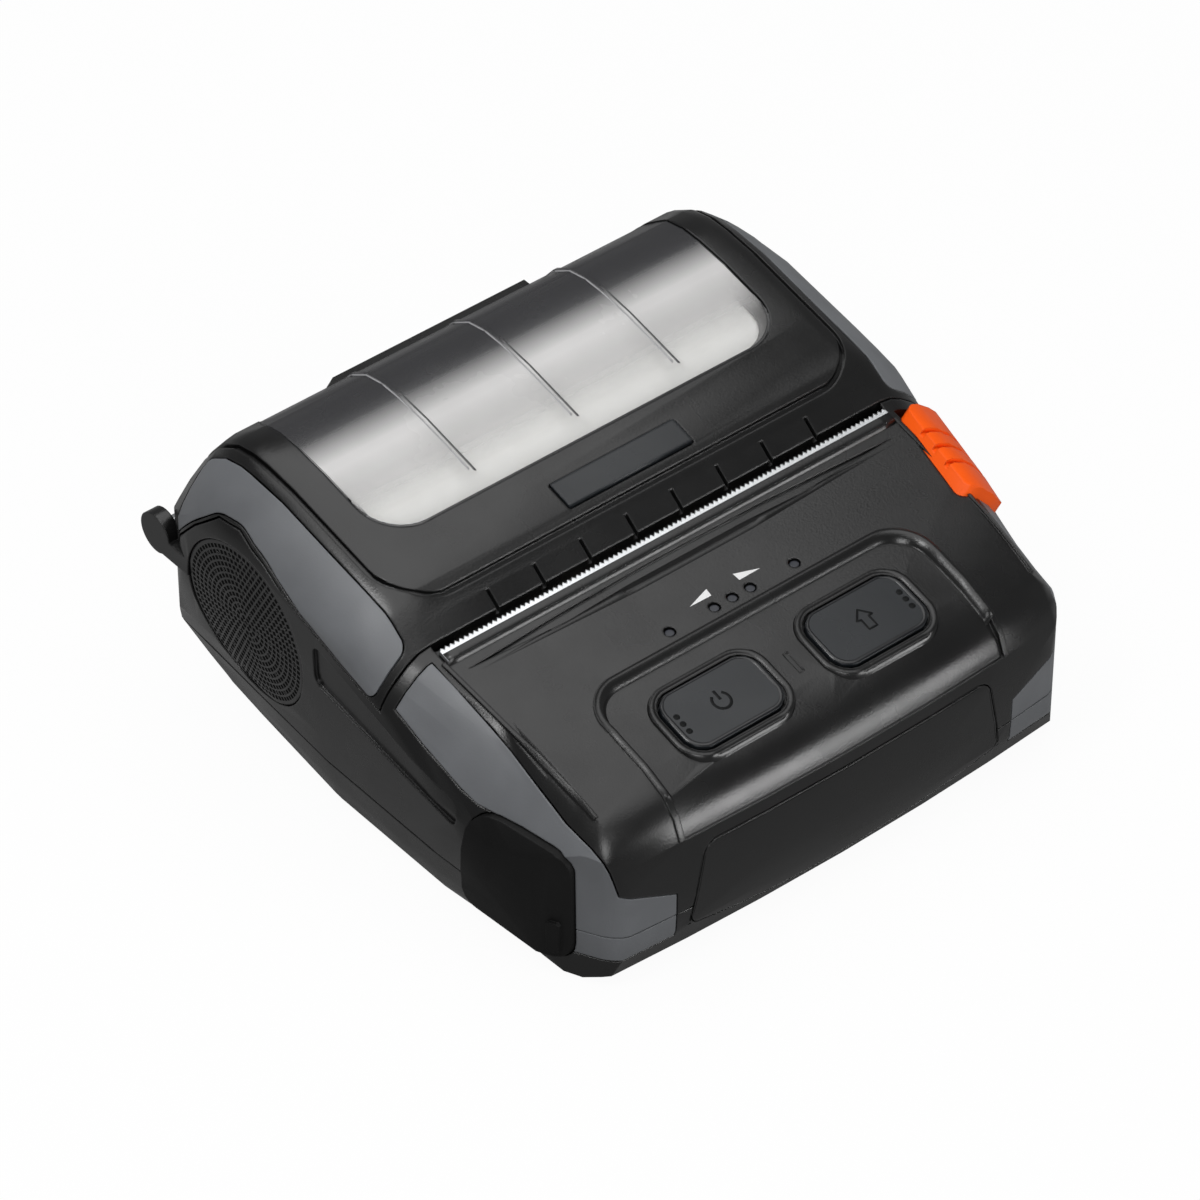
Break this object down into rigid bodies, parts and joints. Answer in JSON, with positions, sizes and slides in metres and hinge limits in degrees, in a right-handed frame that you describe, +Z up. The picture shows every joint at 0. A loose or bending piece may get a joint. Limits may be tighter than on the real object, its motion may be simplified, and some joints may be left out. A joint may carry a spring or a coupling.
{
  "type": "portable receipt printer",
  "caption": "Portable receipt printer with a rear-hinged windowed paper cover, sloping key deck, serrated tear bar, thermal head, geared platen roller, removable battery and side socket flap",
  "frame": {"origin": "Centre of the overall width and depth, at the underside of the feet", "axes": "+X to the right as seen by the user, -Y towards the user (key deck and front panel), +Y towards the cover's hinge, +Z up"},
  "size_m": [0.1392, 0.135, 0.0656],
  "materials": {
    "black_plastic": "fine satin grain",
    "inner_plastic": "plain moulded",
    "grey_plastic": "fine satin grain",
    "orange_plastic": "satin",
    "key_plastic": "semi-gloss",
    "rubber_black": "matt",
    "steel": "bright satin",
    "paper_white": "paper",
    "card_brown": "card",
    "nylon_white": "plain moulded",
    "board_green": "solder resist",
    "ceramic": "glazed",
    "led_clear": "clear",
    "smoked_window": "smoked clear"
  },
  "bodies": {
    "base": {"bottom_case": "black_plastic", "main_case": "black_plastic", "chassis": "inner_plastic", "front_panel": "black_plastic", "corner_strip_right": "grey_plastic", "corner_strip_left": "grey_plastic", "lower_corner_right": "grey_plastic", "lower_corner_left": "grey_plastic", "grille_right": "black_plastic", "grille_left": "black_plastic", "hinge_rod": "steel", "tear_bar": "steel", "print_head": "ceramic", "heat_sink": "steel", "head_spring_right": "steel", "head_spring_left": "steel", "step_motor": "steel", "status_led_1": "led_clear", "status_led_2": "led_clear", "status_led_3": "led_clear", "status_led_4": "led_clear", "status_led_5": "led_clear", "control_board": "board_green", "main_board": "board_green", "usb_socket": "steel", "dc_socket": "rubber_black", "case_screw_1": "steel", "case_screw_2": "steel", "case_screw_3": "steel", "case_screw_4": "steel", "foot_1": "rubber_black", "foot_2": "rubber_black", "foot_3": "rubber_black", "foot_4": "rubber_black"},
    "cover": {"cover_shell": "black_plastic", "window": "smoked_window", "cover_strip_right": "grey_plastic", "cover_strip_left": "grey_plastic", "badge_plate": "key_plastic", "platen_bushing_right": "inner_plastic", "platen_bushing_left": "inner_plastic"},
    "platen": {"platen_shaft": "steel", "platen_roller": "rubber_black", "platen_gear": "inner_plastic"},
    "idler": {"idler_gear": "nylon_white"},
    "pinion": {"motor_pinion": "steel"},
    "release": {"release_button": "orange_plastic"},
    "latch": {"latch_bar": "steel"},
    "power_key": {"power_button": "key_plastic"},
    "feed_key": {"feed_button": "key_plastic"},
    "port_flap": {"port_cover": "rubber_black"},
    "battery": {"battery_pack": "inner_plastic"},
    "battery_catch": {"battery_latch": "inner_plastic"},
    "roll": {"paper_roll": "paper_white", "paper_core": "card_brown"}
  },
  "joints": [
    {"name": "cover_hinge", "type": "hinge", "parent": "base", "child": "cover", "pos_m": [0, 0.0629, 0.0378], "axis": [-1, 0, 0], "range_deg": [0, 95]},
    {"name": "platen_spin", "type": "hinge", "parent": "cover", "child": "platen", "pos_m": [0, -0.0045, 0.043], "axis": [1, 0, 0], "continuous": true},
    {"name": "idler_spin", "type": "hinge", "parent": "base", "child": "idler", "pos_m": [-0.05645, -0.0045, 0.03194], "axis": [1, 0, 0], "continuous": true},
    {"name": "pinion_spin", "type": "hinge", "parent": "base", "child": "pinion", "pos_m": [-0.05645, -0.01081, 0.02544], "axis": [1, 0, 0], "continuous": true},
    {"name": "release_press", "type": "slide", "parent": "base", "child": "release", "axis": [-0.7071, 0, -0.7071], "range_m": [0, 0.002], "stiffness_N_per_m": 800, "springref_m": -0.001},
    {"name": "latch_slide", "type": "slide", "parent": "base", "child": "latch", "axis": [0, -1, 0], "range_m": [0, 0.002]},
    {"name": "power_press", "type": "slide", "parent": "base", "child": "power_key", "axis": [0, 0.2297, -0.9733], "range_m": [0, 0.0008], "stiffness_N_per_m": 1500, "springref_m": -0.0004},
    {"name": "feed_press", "type": "slide", "parent": "base", "child": "feed_key", "axis": [0, 0.2297, -0.9733], "range_m": [0, 0.0008], "stiffness_N_per_m": 1500, "springref_m": -0.0004},
    {"name": "port_flap_hinge", "type": "hinge", "parent": "base", "child": "port_flap", "pos_m": [-0.0697, -0.034, 0.026], "axis": [0.1269, 0.1738, -0.9766], "range_deg": [0, 90]},
    {"name": "battery_slide", "type": "slide", "parent": "base", "child": "battery", "axis": [0, 0, -1], "range_m": [0, 0.022]},
    {"name": "catch_slide", "type": "slide", "parent": "base", "child": "battery_catch", "axis": [0, 1, 0], "range_m": [0, 0.003], "stiffness_N_per_m": 300, "springref_m": -0.001},
    {"name": "roll_spin", "type": "hinge", "parent": "base", "child": "roll", "pos_m": [0, 0.0265, 0.0348], "axis": [1, 0, 0], "continuous": true}
  ],
  "couplings": [
    {"joint": "idler_spin", "follows": "platen_spin", "ratio": -0.83333},
    {"joint": "pinion_spin", "follows": "platen_spin", "ratio": 1.6667},
    {"joint": "latch_slide", "follows": "release_press", "ratio": 1}
  ]
}
